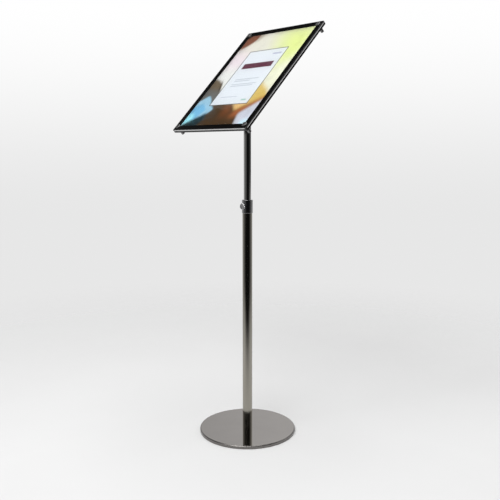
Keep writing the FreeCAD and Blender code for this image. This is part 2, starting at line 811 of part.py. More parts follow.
def make_corner_nuts():
    """Four barrel nuts behind the panel that clamp the sandwich."""
    body = new_body("corner_nuts")
    sketch = new_sketch(body)
    four_circles(sketch, "nut_diameter", STUD_X, STUD_Y)
    pad(body, sketch, "nut_length")
    dress(body, "Fillet", "nut_edge", ring("nut_diameter / 2", "0"))
    holes = new_sketch(body, lift="nut_length - nut_hole_depth")
    four_circles(holes, "stud_diameter", STUD_X, STUD_Y)
    pocket(body, holes, "nut_hole_depth")
    place_on_panel(body, f"({REAR_BACK} - nut_length)")
    return body


def make_bracket_screws():
    """Four countersunk socket screws from the panel's front, hidden under the sheet."""
    head = "(screw_head_diameter - screw_diameter) / 2"
    body = new_body("bracket_screws")
    shanks = new_sketch(body)
    four_circles(shanks, "screw_diameter", SCREW_X, SCREW_Y)
    pad(body, shanks, "screw_length")
    heads = new_sketch(body, lift=f"screw_length - {head}")
    four_circles(heads, "screw_head_diameter", SCREW_X, SCREW_Y)
    pad(body, heads, head)
    dress(body, "Chamfer", f"{head} - end_gap", ring("screw_head_diameter / 2", f"screw_length - {head}"))
    sockets = new_sketch(body, lift="screw_length - screw_socket_depth")
    at_four_corners(lambda x, y: hexagon(sockets, "screw_socket", x, y), SCREW_X, SCREW_Y)
    pocket(body, sockets, "screw_socket_depth")
    place_on_yoke_plate(body, f"({REAR_FRONT} - screw_recess - screw_length)")
    return body


def make_bracket_nuts():
    """Four hexagon nuts behind the yoke's plate."""
    body = new_body("bracket_nuts")
    sketch = new_sketch(body)
    at_four_corners(lambda x, y: hexagon(sketch, "hex_nut_flats", x, y), SCREW_X, SCREW_Y)
    four_circles(sketch, "screw_diameter", SCREW_X, SCREW_Y)
    pad(body, sketch, "hex_nut_thickness")
    place_on_yoke_plate(body, f"({YOKE_BACK} - hex_nut_thickness)")
    return body


PIECES = [
    make_base_pad, make_base_weight, make_base_cover, make_post_bolt, make_foot_plug,
    make_lower_tube, make_guide_bush, make_lock_collar, make_upper_tube, make_glide_bush, make_stop_rings,
    make_clamp_pad, make_thumb_stud, make_thumb_knob,
    make_top_plug, make_plug_pin, make_friction_washers, make_head_yoke, make_pivot_bolt,
    make_knob_washer, make_knob_insert, make_tilt_knob,
    make_rear_panel, make_front_cover, make_border_film, make_poster, make_spacer_washers,
    make_corner_studs, make_corner_caps, make_corner_nuts, make_bracket_screws, make_bracket_nuts,
]


def check(body):
    """Stop if a piece or any of its features failed."""
    for item in [body] + body.Group:
        if {"Invalid", "Error"} & set(item.State):
            raise RuntimeError(f"{item.Label} failed: {item.State}")
    if body.Shape.isNull() or not body.Shape.isValid():
        raise RuntimeError(f"{body.Label} has no valid shape")


def main():
    bodies = [make() for make in PIECES]
    doc.recompute()
    os.makedirs("parts", exist_ok=True)
    for body in bodies:
        check(body)
        body.Shape.exportStep(f"parts/{body.Label}.step")


main()
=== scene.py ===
import json
from math import cos, pi, radians, sin

import bmesh
import bpy
from mathutils import Matrix, Vector


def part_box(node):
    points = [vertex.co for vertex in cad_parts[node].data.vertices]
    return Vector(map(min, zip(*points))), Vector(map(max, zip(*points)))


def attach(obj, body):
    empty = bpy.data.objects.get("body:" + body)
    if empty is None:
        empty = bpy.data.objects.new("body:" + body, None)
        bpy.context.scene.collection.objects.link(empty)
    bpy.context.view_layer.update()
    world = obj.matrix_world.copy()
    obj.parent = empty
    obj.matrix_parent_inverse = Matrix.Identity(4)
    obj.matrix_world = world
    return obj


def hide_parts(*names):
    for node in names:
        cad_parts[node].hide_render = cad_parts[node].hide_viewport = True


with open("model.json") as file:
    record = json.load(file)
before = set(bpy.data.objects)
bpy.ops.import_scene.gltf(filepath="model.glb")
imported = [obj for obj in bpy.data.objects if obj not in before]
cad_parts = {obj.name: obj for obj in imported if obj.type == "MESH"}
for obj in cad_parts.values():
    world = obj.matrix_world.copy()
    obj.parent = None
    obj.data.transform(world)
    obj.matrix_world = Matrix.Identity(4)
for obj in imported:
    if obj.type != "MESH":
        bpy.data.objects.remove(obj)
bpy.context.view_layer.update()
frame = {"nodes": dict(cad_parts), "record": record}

# The camera: where it stands from the post's axis, how it is turned, and its lens.
CAMERA_BEARING = radians(46.4)
CAMERA_PITCH = radians(-8.45)
CAMERA_DISTANCE = 2.071
CAMERA_HEIGHT = 0.884
CAMERA_SIDESTEP = 0.008
LENS = 49.25
SENSOR_WIDTH = 36.0

TO_CAMERA = Vector((sin(CAMERA_BEARING), -cos(CAMERA_BEARING), 0.0))
CAMERA_RIGHT = Vector((cos(CAMERA_BEARING), sin(CAMERA_BEARING), 0.0))

# The panel's own frame, read from the record: origin in the middle of the sheet's gap,
# X along the width, Y up the slope, Z out of the face.
record = frame["record"]
gap_mount = next(mount for mount in record["mounts"] if mount["name"] == "sheet_gap")
PANEL_NORMAL = Vector(gap_mount["axis"]).normalized()
PANEL_RIGHT = Vector((1.0, 0.0, 0.0))
PANEL_UP = PANEL_NORMAL.cross(PANEL_RIGHT)
PANEL_ORIGIN = Vector(gap_mount["pos_m"])
PANEL_AXES = Matrix((PANEL_RIGHT, PANEL_UP, PANEL_NORMAL)).transposed()
PANEL_FRAME = Matrix.Translation(PANEL_ORIGIN) @ PANEL_AXES.to_4x4()
PANEL_TILT = PANEL_FRAME.to_euler().x


def extents(node, to_local):
    """Lowest and highest corner of a CAD node in another frame."""
    points = [to_local @ vertex.co for vertex in frame["nodes"][node].data.vertices]
    low = Vector([min(point[i] for point in points) for i in range(3)])
    high = Vector([max(point[i] for point in points) for i in range(3)])
    return low, high


# ---------------------------------------------------------------- node helpers

class Shader:
    """A new material or world under construction, with short calls for the nodes it needs."""

    def __init__(self, name, family="materials"):
        self.owner = getattr(bpy.data, family).new(name)
        self.owner.use_nodes = True
        self.tree = self.owner.node_tree
        self.tree.nodes.clear()

    def set_input(self, socket, value):
        """Link a socket into an input, or give the input a plain value."""
        if isinstance(value, bpy.types.NodeSocket):
            self.tree.links.new(value, socket)
        else:
            socket.default_value = value

    def add(self, kind, inputs=None, **settings):
        """A node, its settings, and its inputs as {name or number: value or socket}."""
        node = self.tree.nodes.new(kind)
        for key, value in settings.items():
            setattr(node, key, value)
        for key, value in (inputs or {}).items():
            self.set_input(node.inputs[key], value)
        return node

    def maths(self, operation, *values):
        """A number worked out from numbers."""
        return self.add("ShaderNodeMath", dict(enumerate(values)), operation=operation).outputs[0]

    def product(self, first, *others):
        """Several values multiplied together."""
        for other in others:
            first = self.maths("MULTIPLY", first, other)
        return first

    def rising(self, value, base, rise):
        """A base that rises by some amount as an input goes from 0 to 1."""
        return self.maths("MULTIPLY_ADD", value, rise, base)

    def vector(self, operation, *values):
        """A vector worked out from vectors."""
        return self.add("ShaderNodeVectorMath", dict(enumerate(values)), operation=operation).outputs[0]

    def measure(self, operation, *values):
        """A number worked out from vectors, such as a length or a dot product."""
        node = self.add("ShaderNodeVectorMath", dict(enumerate(values)), operation=operation)
        return node.outputs["Value"]

    def step(self, value, low, high, at_low=0.0, at_high=1.0):
        """A smooth step from one value to another as an input goes from low to high."""
        inputs = {"Value": value, "From Min": low, "From Max": high, "To Min": at_low, "To Max": at_high}
        return self.add("ShaderNodeMapRange", inputs, interpolation_type="SMOOTHSTEP").outputs["Result"]

    def mix(self, factor, first, second):
        """A colour between two others."""
        node = self.add("ShaderNodeMix", data_type="RGBA")
        self.set_input(node.inputs["Factor"], factor)
        self.set_input(node.inputs[6], first)
        self.set_input(node.inputs[7], second)
        return node.outputs[2]

    def blend(self, factor, first, second):
        """A surface between two others."""
        return self.add("ShaderNodeMixShader", {0: factor, 1: first, 2: second}).outputs[0]

    def transparent(self, colour=(1.0, 1.0, 1.0, 1.0)):
        """A surface that lets light straight through, tinted by a colour."""
        return self.add("ShaderNodeBsdfTransparent", {"Color": colour}).outputs[0]

    def place(self, scale=(1.0, 1.0, 1.0)):
        """Object coordinates in metres, scaled."""
        coords = self.add("ShaderNodeTexCoord").outputs["Object"]
        return self.add("ShaderNodeMapping", {"Vector": coords, "Scale": scale}).outputs["Vector"]

    def on_panel(self, scale=(1.0, 1.0, 1.0)):
        """Coordinates in the panel's own frame, divided by a scale."""
        coords = self.add("ShaderNodeTexCoord").outputs["Object"]
        turn = (PANEL_TILT, 0.0, 0.0)
        inputs = {"Vector": coords, "Location": PANEL_ORIGIN, "Rotation": turn, "Scale": scale}
        return self.add("ShaderNodeMapping", inputs, vector_type="TEXTURE").outputs["Vector"]

    def noise(self, vector, scale, detail, output="Fac"):
        """Cloudy values, or colours, around a half, in a grain set by the scale."""
        inputs = {"Vector": vector, "Scale": scale, "Detail": detail}
        return self.add("ShaderNodeTexNoise", inputs).outputs[output]

    def bump(self, height, strength, distance):
        """A normal tilted by a height field."""
        inputs = {"Height": height, "Strength": strength, "Distance": distance}
        return self.add("ShaderNodeBump", inputs).outputs["Normal"]

    def principled(self, **inputs):
        """A Principled surface, its inputs named with underscores for spaces."""
        named = {key.replace("_", " "): value for key, value in inputs.items()}
        return self.add("ShaderNodeBsdfPrincipled", named).outputs[0]

    def finish(self, surface):
        """Send a surface to the output and hand back the finished material."""
        self.add("ShaderNodeOutputMaterial", {"Surface": surface})
        return self.owner


def grey(value):
    """A neutral colour of some value."""
    return (value, value, value, 1.0)


def tinted(value, tint):
    """A grey of some value, coloured by a tint's red, green and blue."""
    return tuple(value * part for part in tint) + (1.0,)


# ---------------------------------------------------------------- materials

NEUTRAL_TINT = (1.0, 0.99, 0.96)
TUBE_TINT = (1.0, 0.95, 0.83)
DISC_TINT = (1.0, 0.95, 0.91)

# How far in from the disc's edge the painted shade on its rim starts, and where it is full.
RIM_SHADE_START = 0.0035
RIM_SHADE_FULL = 0.0010


def drawn_steel(name, dark, light, tint):
    """Polished tube with faint lines drawn along it and slightly cloudy shine."""
    shader = Shader(name)
    lines = shader.noise(shader.place((1.0, 1.0, 0.01)), scale=1800.0, detail=3.0)
    clouds = shader.noise(shader.place(), scale=9.0, detail=4.0)
    sheen = shader.maths("ADD", shader.product(lines, 0.05), shader.product(clouds, 0.05))
    colour = shader.mix(clouds, tinted(dark, tint), tinted(light, tint))
    return shader.finish(shader.principled(
        Base_Color=colour, Metallic=1.0, Roughness=shader.maths("ADD", sheen, 0.06),
        Normal=shader.bump(lines, strength=0.04, distance=0.0002)))


def spun_steel():
    """Polished disc with faint spun rings, light wiping marks, and painted shade on its rougher rim."""
    shader = Shader("spun_steel")
    coords = shader.place()
    radius = shader.measure("LENGTH", shader.vector("MULTIPLY", coords, (1.0, 1.0, 0.0)))
    turns = {"W": shader.product(radius, 900.0), "Detail": 3.0}
    rings = shader.add("ShaderNodeTexNoise", turns, noise_dimensions="1D").outputs["Fac"]
    clouds = shader.noise(coords, scale=12.0, detail=5.0)
    wiping = shader.noise(shader.place((1.0, 6.0, 1.0)), scale=14.0, detail=3.0)
    sheen = shader.maths("ADD", shader.product(rings, 0.02), shader.product(wiping, 0.05))
    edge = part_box("base_cover")[1][0]
    # The rim is painted darker and made rougher: painted shade, which dims its highlight.
    painted_rim_shade = shader.step(radius, edge - RIM_SHADE_START, edge - RIM_SHADE_FULL)
    colour = shader.mix(clouds, tinted(0.56, DISC_TINT), tinted(0.63, DISC_TINT))
    return shader.finish(shader.principled(
        Base_Color=shader.mix(painted_rim_shade, colour, tinted(0.20, DISC_TINT)), Metallic=1.0,
        Roughness=shader.maths("ADD", sheen, shader.rising(painted_rim_shade, base=0.015, rise=0.22)),
        Normal=shader.bump(rings, strength=0.03, distance=0.0002)))


def turned_steel(name, dark, light, roughness):
    """Turned parts with fine tool lines and small dull patches."""
    shader = Shader(name)
    lines = shader.noise(shader.place((0.2, 0.2, 1.0)), scale=2600.0, detail=2.0)
    patches = shader.noise(shader.place(), scale=160.0, detail=3.0)
    return shader.finish(shader.principled(
        Base_Color=shader.mix(patches, grey(dark), grey(light)), Metallic=1.0,
        Roughness=shader.rising(patches, base=roughness, rise=0.12),
        Normal=shader.bump(lines, strength=0.06, distance=0.0001)))


def zinc_plate():
    """Zinc-plated fasteners: greyish, a little mottled."""
    shader = Shader("zinc_plate")
    mottling = shader.noise(shader.place(), scale=420.0, detail=4.0)
    return shader.finish(shader.principled(
        Base_Color=shader.mix(mottling, (0.45, 0.46, 0.48, 1), (0.62, 0.63, 0.64, 1)), Metallic=1.0,
        Roughness=shader.rising(mottling, base=0.22, rise=0.2),
        Normal=shader.bump(mottling, strength=0.08, distance=0.0002)))


def powder_coat():
    """Black powder coat with its fine orange-peel texture."""
    shader = Shader("powder_coat")
    peel = shader.noise(shader.place(), scale=900.0, detail=3.0)
    wear = shader.noise(shader.place(), scale=30.0, detail=5.0)
    return shader.finish(shader.principled(
        Base_Color=shader.mix(wear, grey(0.018), grey(0.032)),
        Roughness=shader.rising(wear, base=0.38, rise=0.15),
        Normal=shader.bump(peel, strength=0.35, distance=0.0003)))


def moulded(name, dark, light, roughness):
    """Moulded plastic with a fine spark-eroded grain."""
    shader = Shader(name)
    grain = shader.noise(shader.place(), scale=1500.0, detail=2.0)
    tone = shader.noise(shader.place(), scale=60.0, detail=3.0)
    return shader.finish(shader.principled(
        Base_Color=shader.mix(tone, dark, light),
        Roughness=shader.rising(grain, base=roughness, rise=0.15),
        Normal=shader.bump(grain, strength=0.2, distance=0.0002)))


def rubber():
    """Black rubber underlay with a dusty bloom."""
    shader = Shader("rubber")
    bloom = shader.noise(shader.place(), scale=45.0, detail=5.0)
    grain = shader.noise(shader.place(), scale=1100.0, detail=2.0)
    return shader.finish(shader.principled(
        Base_Color=shader.mix(bloom, grey(0.015), grey(0.045)), Roughness=0.85,
        Normal=shader.bump(grain, strength=0.4, distance=0.0003)))


def cast_plate():
    """Dark mill-scale steel."""
    shader = Shader("cast_plate")
    flakes = shader.noise(shader.place(), scale=70.0, detail=6.0)
    return shader.finish(shader.principled(
        Base_Color=shader.mix(flakes, (0.10, 0.10, 0.105, 1), (0.22, 0.21, 0.21, 1)), Metallic=0.8,
        Roughness=shader.rising(flakes, base=0.4, rise=0.3),
        Normal=shader.bump(flakes, strength=0.3, distance=0.0005)))


def brass():
    """Turned brass insert."""
    shader = Shader("brass")
    lines = shader.noise(shader.place((1.0, 0.1, 0.1)), scale=2000.0, detail=2.0)
    return shader.finish(shader.principled(
        Base_Color=shader.mix(lines, (0.62, 0.43, 0.16, 1), (0.75, 0.55, 0.24, 1)), Metallic=1.0,
        Roughness=0.28, Normal=shader.bump(lines, strength=0.1, distance=0.0002)))


def black_acrylic():
    """Gloss black sheet with faint wiping marks."""
    shader = Shader("black_acrylic")
    wiping = shader.noise(shader.place((3.0, 1.0, 1.0)), scale=22.0, detail=4.0)
    fine = shader.noise(shader.place(), scale=500.0, detail=2.0)
    return shader.finish(shader.principled(
        Base_Color=shader.mix(wiping, grey(0.006), grey(0.014)), Specular_IOR_Level=0.3,
        Roughness=shader.rising(wiping, base=0.06, rise=0.12),
        Normal=shader.bump(fine, strength=0.02, distance=0.0001)))


def black_print():
    """Black ink on the cover's face: slightly uneven in density.

    Light from the lamps passes it, so that the sheet below stays bright right up to the border.
    """
    shader = Shader("black_print")
    density = shader.noise(shader.place(), scale=90.0, detail=4.0)
    ink = shader.principled(
        Base_Color=shader.mix(density, grey(0.002), grey(0.005)), Specular_IOR_Level=0.25,
        Roughness=shader.rising(density, base=0.08, rise=0.06))
    from_lamp = shader.add("ShaderNodeLightPath").outputs["Is Shadow Ray"]
    return shader.finish(shader.blend(from_lamp, ink, shader.transparent()))


def clear_acrylic():
    """Clear sheet: see-through, with a surface reflection that grows at grazing angles."""
    shader = Shader("clear_acrylic")
    wiping = shader.noise(shader.place((3.0, 1.0, 1.0)), scale=18.0, detail=4.0)
    fresnel = shader.add("ShaderNodeFresnel", {"IOR": 1.35}).outputs[0]
    shine = {"Color": grey(1.0), "Roughness": shader.rising(wiping, base=0.01, rise=0.05)}
    gloss = shader.add("ShaderNodeBsdfGlossy", shine).outputs[0]
    return shader.finish(shader.blend(fresnel, shader.transparent((0.985, 0.99, 0.985, 1)), gloss))


def clear_acrylic_back():
    """The cover's rear face: light only passes through it."""
    shader = Shader("clear_acrylic_back")
    haze = shader.noise(shader.place(), scale=40.0, detail=3.0)
    tint = shader.mix(haze, (0.97, 0.985, 0.975, 1), (0.99, 0.995, 0.99, 1))
    return shader.finish(shader.transparent(tint))


# The clear cover's rounded corners and chamfered edges, and the glow painted into its cut edge:
# how deep the painted line is, how soft its border is, and where it dies out short of each corner.
SHEET_CORNER = 0.002
SHEET_CHAMFER = 0.0005
LIT_DEPTH = 0.0022
LIT_BLUR = 0.0004
LIT_FADE = (0.003, 0.008)
# How strongly the painted glow shines.
PAINTED_GLOW_STRENGTH = 0.38


def acrylic_edge(low, high):
    """The cover's cut edge: dark in front, with a glow painted at its back, for light gathering in the
    sheet.

    Low and high are the cover's corners in the panel's frame. On the two ends the painted glow fills the
    whole edge; on the long sides it is a line along the back; it dies out before each corner.
    """
    shader = Shader("acrylic_edge")
    spot = shader.add("ShaderNodeSeparateXYZ", {0: shader.on_panel()})
    depth = spot.outputs["Z"]
    from_side = shader.maths("SUBTRACT", high.x, shader.maths("ABSOLUTE", spot.outputs["X"]))
    from_end = shader.maths("SUBTRACT", high.y, shader.maths("ABSOLUTE", spot.outputs["Y"]))
    on_end = shader.step(from_end, 2 * SHEET_CHAMFER, SHEET_CHAMFER / 2)
    line = shader.step(depth, low.z + LIT_DEPTH + LIT_BLUR, low.z + LIT_DEPTH - LIT_BLUR)
    band = shader.step(depth, high.z - SHEET_CHAMFER, high.z - 2 * SHEET_CHAMFER)
    from_corner = shader.maths("MAXIMUM", from_end, from_side)
    # Where the glow is painted: a line along the back, the whole edge on the ends, none near the
    # corners.
    lit = shader.maths("MAXIMUM", line, shader.product(band, on_end))
    lit = shader.product(lit, shader.step(from_corner, *LIT_FADE))
    saw = shader.noise(shader.place((1.0, 1.0, 0.15)), scale=700.0, detail=2.0)
    # The painted glow: a lighter colour and an emission, given to the lit line.
    painted_glow = shader.mix(saw, grey(0.42), grey(0.62))
    return shader.finish(shader.principled(
        Base_Color=shader.mix(lit, grey(0.035), painted_glow), Roughness=0.2, Specular_IOR_Level=0.4,
        Emission_Color=painted_glow, Emission_Strength=shader.product(lit, PAINTED_GLOW_STRENGTH),
        Normal=shader.bump(saw, strength=0.05, distance=0.0001)))


# The floor fades out between two shares of its radius, and on the camera's side between two
# distances from the post.
FLOOR_RADIUS = 3.4
FLOOR_FADE_START = 0.12 * FLOOR_RADIUS
FLOOR_FADE_END = 0.75 * FLOOR_RADIUS
FRONT_FADE = (0.0, 1.5)


def floor_paint():
    """Plain pale studio floor that fades out into the backdrop, sooner on the camera's side."""
    shader = Shader("floor_paint")
    coords = shader.place()
    tone = shader.noise(coords, scale=3.0, detail=3.0)
    radius = shader.measure("LENGTH", coords)
    forward = shader.measure("DOT_PRODUCT", coords, TO_CAMERA)
    paint = shader.principled(
        Base_Color=shader.mix(tone, grey(0.77), grey(0.80)), Roughness=0.7, Specular_IOR_Level=0.2)
    fade = shader.maths("MAXIMUM", shader.step(radius, FLOOR_FADE_START, FLOOR_FADE_END),
                        shader.step(forward, *FRONT_FADE))
    return shader.finish(shader.blend(fade, paint, shader.transparent()))


# ---------------------------------------------------------------- the printed sheet

# Colour fields of the sheet, each painted over the ones before. Each has a colour, the softness
# of its edge, and a convex outline, whose corners are listed in order round it. X and Y run from
# -1 to 1 across the sheet's width and up its length.
CREAM = (0.73, 0.70, 0.64, 1)
FIELDS = {
    "lime": ((0.71, 0.77, 0.33, 1), 0.40,
             [(-0.05, 1.1), (0.45, 0.1), (1.1, -0.1), (1.1, 1.1)]),
    "primrose": ((0.80, 0.79, 0.66, 1), 0.22,
                 [(0.60, 0.25), (1.1, 0.48), (1.1, -0.30), (0.55, -0.15)]),
    "pink": ((0.77, 0.68, 0.73, 1), 0.18,
             [(-1.1, 0.70), (-0.50, 0.55), (-0.35, 0.10), (-1.1, 0.10)]),
    "chalk": ((0.77, 0.76, 0.76, 1), 0.16,
              [(-1.1, 0.26), (-0.45, 0.26), (-0.35, -0.25), (-1.1, -0.05)]),
    "stone": ((0.50, 0.44, 0.37, 1), 0.08,
              [(-0.70, 1.1), (-0.40, 1.1), (-0.62, 0.84)]),
    "rust": ((0.23, 0.09, 0.055, 1), 0.05,
             [(-1.1, 1.1), (-0.64, 1.1), (-0.64, 0.90), (-0.86, 0.71), (-1.1, 0.64)]),
    "olive": ((0.16, 0.12, 0.08, 1), 0.04,
              [(-1.1, 0.06), (-0.72, -0.06), (-0.56, -0.30), (-0.44, -0.60), (-1.1, -0.42)]),
    "bark": ((0.05, 0.03, 0.02, 1), 0.03,
             [(-0.76, -0.02), (-0.70, -0.06), (-0.60, -0.27), (-0.66, -0.25)]),
    "slate": ((0.155, 0.150, 0.145, 1), 0.07,
              [(-1.1, -0.17), (-0.58, -0.24), (-0.42, -0.60), (-1.1, -0.42)]),
    "gold": ((0.66, 0.48, 0.14, 1), 0.06,
             [(0.45, -0.05), (1.1, -0.52), (1.1, -0.60), (0.20, -0.75), (0.20, -0.30)]),
    "umber": ((0.07, 0.036, 0.014, 1), 0.06,
              [(-0.50, -0.45), (0.12, -0.48), (0.60, -0.85), (0.60, -1.1), (-0.80, -1.1)]),
    "chestnut": ((0.18, 0.06, 0.02, 1), 0.12,
                 [(-0.12, -0.50), (0.14, -0.50), (0.24, -0.76), (0.02, -0.80)]),
    "ember": ((0.34, 0.11, 0.04, 1), 0.09,
              [(0.34, -0.63), (1.1, -0.37), (1.1, -0.54), (0.45, -0.83), (0.26, -0.80)]),
    "peach": ((0.74, 0.48, 0.20, 1), 0.05,
              [(0.10, -0.50), (0.60, -0.50), (0.30, -0.68)]),
    "mist": ((0.36, 0.58, 0.74, 1), 0.03,
             [(-1.1, -0.50), (-0.78, -0.34), (-0.36, -0.62), (-0.72, -0.93), (-1.1, -0.90)]),
    "sky": ((0.20, 0.47, 0.70, 1), 0.04,
            [(-1.1, -0.60), (-0.80, -0.50), (-0.58, -0.62), (-0.76, -0.86), (-1.1, -0.86)]),
    "aqua": ((0.38, 0.80, 0.92, 1), 0.06,
             [(-1.1, -0.72), (-0.86, -0.70), (-0.74, -0.90), (-1.1, -0.98)]),
    "teal": ((0.008, 0.022, 0.028, 1), 0.05,
             [(-1.05, -0.96), (-0.46, -0.69), (-0.42, -0.82), (-0.60, -1.1), (-1.05, -1.1)]),
    "lilac": ((0.58, 0.59, 0.68, 1), 0.05,
              [(0.48, -0.74), (1.1, -0.37), (1.1, -1.1), (0.68, -1.1)]),
    "frost": ((0.60, 0.78, 0.88, 1), 0.06,
              [(0.70, -0.88), (1.1, -0.80), (1.1, -1.1), (0.76, -1.1)]),
}

# The white page on the sheet, in the same coordinates: low and high X, low and high Y.
PAGE = (-0.55, 0.52, -0.54, 0.595)
PAGE_OUTLINE = 0.018
PAGE_WHITE = (0.72, 0.74, 0.80, 1)
OUTLINE_GREY = (0.06, 0.06, 0.05, 1)
LINE_GREY = (0.36, 0.39, 0.46, 1)
EDGE_SOFTNESS = 0.003

# The plain bars on the page: colour, strength, and box.
PAGE_BARS = [
    ((0.10, 0.012, 0.035, 1), 1.0, (-0.44, 0.41, 0.210, 0.322)),
    ((0.33, 0.33, 0.50, 1), 0.7, (0.20, 0.44, 0.475, 0.510)),
    (LINE_GREY, 0.6, (-0.36, 0.32, -0.030, -0.012)),
    (LINE_GREY, 0.6, (-0.36, 0.10, -0.066, -0.048)),
    (LINE_GREY, 0.6, (-0.36, 0.34, -0.135, -0.117)),
    (LINE_GREY, 0.6, (-0.36, 0.28, -0.171, -0.153)),
    ((0.38, 0.41, 0.50, 1), 0.6, (-0.40, 0.08, -0.395, -0.380)),
    ((0.26, 0.50, 0.44, 1), 0.8, (0.28, 0.42, -0.480, -0.450)),
]

# How far the fields' borders wander, and the soft wash that darkens parts of the print.
BORDER_WANDER = 0.10
WASH_VALUE = 0.90
WASH_RANGE = (0.42, 0.75)


def printed_sheet():
    """An abstract wash of colour fields with a white page of plain bars in the middle."""
    shader = Shader("printed_sheet")
    low, high = extents("poster", PANEL_FRAME.inverted())
    half = (high - low) / 2
    on_sheet = shader.on_panel((half.x, half.y, 1.0))
    colour = shader.mix(wash_mask(shader, on_sheet), *field_colours(shader, on_sheet))
    colour = add_page(shader, on_sheet, colour, PAGE_OUTLINE * half.x / half.y)
    paper = shader.noise(shader.place(), scale=1400.0, detail=2.0)
    return shader.finish(shader.principled(
        Base_Color=colour, Roughness=0.45, Specular_IOR_Level=0.3,
        Normal=shader.bump(paper, strength=0.05, distance=0.0001)))


def field_colours(shader, on_sheet):
    """The colour fields, and the same fields a little darker."""
    drift = shader.noise(on_sheet, scale=2.2, detail=3.0, output="Color")
    wander = shader.vector("SUBTRACT", drift, (0.5, 0.5, 0.5))
    shifted = shader.vector("MULTIPLY_ADD", wander, (BORDER_WANDER, BORDER_WANDER, 0.0), on_sheet)
    colour = CREAM
    for tint, softness, corners in FIELDS.values():
        colour = shader.mix(inside_outline(shader, shifted, corners, softness), colour, tint)
    darker = shader.add("ShaderNodeHueSaturation", {"Color": colour, "Value": WASH_VALUE})
    return colour, darker.outputs["Color"]


def wash_mask(shader, on_sheet):
    """Where the print is a little darker, in soft patches."""
    return shader.step(shader.noise(on_sheet, scale=5.0, detail=4.0), *WASH_RANGE)


def add_page(shader, on_sheet, colour, outline_up):
    """The white page with its outline and bars over a colour. The outline is as thick both ways."""
    left, right, bottom, top = PAGE
    margin = (left - PAGE_OUTLINE, right + PAGE_OUTLINE, bottom - outline_up, top + outline_up)
    colour = shader.mix(inside_box(shader, on_sheet, margin), colour, OUTLINE_GREY)
    colour = shader.mix(inside_box(shader, on_sheet, PAGE), colour, PAGE_WHITE)
    for tint, strength, box in PAGE_BARS:
        mask = shader.product(inside_box(shader, on_sheet, box), strength)
        colour = shader.mix(mask, colour, tint)
    return colour


def inside_outline(shader, vector, corners, softness):
    """1 inside a convex outline and 0 outside, with a soft edge."""
    middle = sum((Vector(corner) for corner in corners), Vector((0.0, 0.0))) / len(corners)
    mask = 1.0
    for index, corner in enumerate(corners):
        start = Vector(corner)
        along = Vector(corners[(index + 1) % len(corners)]) - start
        inward = Vector((-along.y, along.x)).normalized()
        if inward.dot(middle - start) < 0:
            inward.negate()
        away = shader.measure("DOT_PRODUCT", vector, (inward.x, inward.y, 0.0))
        edge = shader.step(shader.maths("SUBTRACT", away, inward.dot(start)), -softness, softness)
        mask = shader.product(mask, edge)
    return mask


def inside_box(shader, vector, box):
    """1 inside a box of the sheet and 0 outside, with a crisp edge."""
    left, right, bottom, top = box
    corners = [(left, bottom), (right, bottom), (right, top), (left, top)]
    return inside_outline(shader, vector, corners, EDGE_SOFTNESS)


# ---------------------------------------------------------------- pieces

def mesh_object(name, mesh_builder, materials):
    """A new object from a bmesh, with its materials."""
    mesh = bpy.data.meshes.new(name)
    mesh_builder.to_mesh(mesh)
    mesh_builder.free()
    for material in materials:
        mesh.materials.append(material)
    obj = bpy.data.objects.new(name, mesh)
    bpy.context.scene.collection.objects.link(obj)
    return obj


CORNER_STEPS = 6


def rounded_rectangle(half_x, half_y, radius):
    """Corner points of a rounded rectangle, counter-clockwise."""
    points = []
    for quarter, (x_sign, y_sign) in enumerate(((1, 1), (-1, 1), (-1, -1), (1, -1))):
        centre = Vector((x_sign * (half_x - radius), y_sign * (half_y - radius)))
        for step in range(CORNER_STEPS + 1):
            angle = (quarter + step / CORNER_STEPS) * pi / 2
            points.append(centre + radius * Vector((cos(angle), sin(angle))))
    return points


# Which of its three finishes the cover's edge and back take. The front takes the first.
EDGE_FINISH = 1
BACK_FINISH = 2


def clear_cover():
    """The front sheet: clear faces and separate polished edges."""
    low, high = extents("front_cover", PANEL_FRAME.inverted())
    half = (high - low) / 2
    # Each ring round the sheet, from the back to the front: its height, and how far in it lies.
    levels = [(low.z, SHEET_CHAMFER), (low.z + SHEET_CHAMFER, 0.0),
              (high.z - SHEET_CHAMFER, 0.0), (high.z, SHEET_CHAMFER)]
    builder = bmesh.new()
    rings = []
    for height, inset in levels:
        outline = rounded_rectangle(half.x - inset, half.y - inset, SHEET_CORNER - inset)
        rings.append([builder.verts.new((point.x, point.y, height)) for point in outline])
    count = len(rings[0])
    for lower, upper in zip(rings, rings[1:]):
        for index in range(count):
            following = (index + 1) % count
            side = builder.faces.new((lower[index], lower[following], upper[following], upper[index]))
            side.material_index = EDGE_FINISH
    builder.faces.new(rings[-1])
    builder.faces.new(list(reversed(rings[0]))).material_index = BACK_FINISH
    builder.transform(PANEL_FRAME)
    finishes = [clear_acrylic(), acrylic_edge(low, high), clear_acrylic_back()]
    cover = mesh_object("clear_cover", builder, finishes)
    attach(cover, "head")
    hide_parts("front_cover")


# The clamp screw's head. The dish's outer and inner circles are shares of the rim's radius.
KNURL_RIDGES = 54
KNURL_DEPTH = 0.00025
KNOB_EDGE = 0.0006
KNOB_NECK_LENGTH = 0.0008
KNOB_DISH_DEPTH = 0.0006
KNOB_DISH_OUTER = 0.72
KNOB_DISH_INNER = 0.45
PLAIN_FINISH = 0
KNURLED_FINISH = 1


